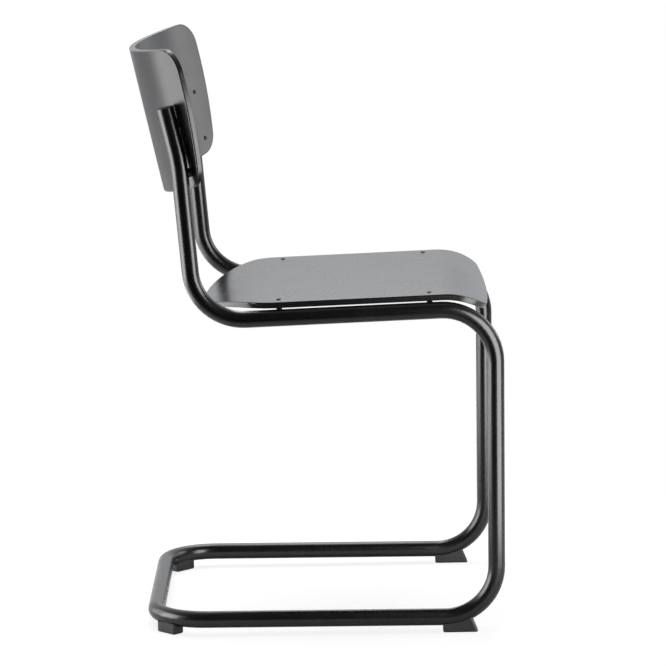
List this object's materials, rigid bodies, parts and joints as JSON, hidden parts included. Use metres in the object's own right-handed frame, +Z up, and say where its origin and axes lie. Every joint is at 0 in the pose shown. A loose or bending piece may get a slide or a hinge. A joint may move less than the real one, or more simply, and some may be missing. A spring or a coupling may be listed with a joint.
{
  "type": "cantilever chair",
  "caption": "Armless cantilever chair: one bent tube frame, a moulded ply seat and a curved moulded ply back, all black.",
  "frame": {"origin": "on the floor, at the middle of the chair's outline seen from above", "axes": "+Z up, the chair faces -Y, +X towards the sitter's left"},
  "size_m": [0.4846, 0.5271, 0.8351],
  "materials": {
    "black_lacquered_steel": "semi-gloss black lacquer",
    "black_stained_ply": "black stain under satin lacquer",
    "black_plastic": "moulded, satin",
    "black_steel_screws": "black zinc",
    "zinc_plated_steel": "bright zinc"
  },
  "bodies": {
    "root": {"back_insert_lower_left": "zinc_plated_steel", "back_insert_lower_right": "zinc_plated_steel", "back_insert_upper_left": "zinc_plated_steel", "back_insert_upper_right": "zinc_plated_steel", "back_screw_lower_left": "black_steel_screws", "back_screw_lower_right": "black_steel_screws", "back_screw_upper_left": "black_steel_screws", "back_screw_upper_right": "black_steel_screws", "back_shell": "black_stained_ply", "back_spacer_lower_left": "black_plastic", "back_spacer_lower_right": "black_plastic", "back_spacer_upper_left": "black_plastic", "back_spacer_upper_right": "black_plastic", "end_cap_left": "black_plastic", "end_cap_right": "black_plastic", "glide_front_left": "black_plastic", "glide_front_right": "black_plastic", "glide_rear_left": "black_plastic", "glide_rear_right": "black_plastic", "glide_screw_front_left": "black_steel_screws", "glide_screw_front_right": "black_steel_screws", "glide_screw_rear_left": "black_steel_screws", "glide_screw_rear_right": "black_steel_screws", "seat_bush_front_left": "black_plastic", "seat_bush_front_right": "black_plastic", "seat_bush_rear_left": "black_plastic", "seat_bush_rear_right": "black_plastic", "seat_nut_front_left": "zinc_plated_steel", "seat_nut_front_right": "zinc_plated_steel", "seat_nut_rear_left": "zinc_plated_steel", "seat_nut_rear_right": "zinc_plated_steel", "seat_screw_front_left": "black_steel_screws", "seat_screw_front_right": "black_steel_screws", "seat_screw_rear_left": "black_steel_screws", "seat_screw_rear_right": "black_steel_screws", "seat_shell": "black_stained_ply", "seat_tab_front_left": "black_lacquered_steel", "seat_tab_front_right": "black_lacquered_steel", "seat_tab_rear_left": "black_lacquered_steel", "seat_tab_rear_right": "black_lacquered_steel", "tube_frame": "black_lacquered_steel"}
  },
  "joints": []
}
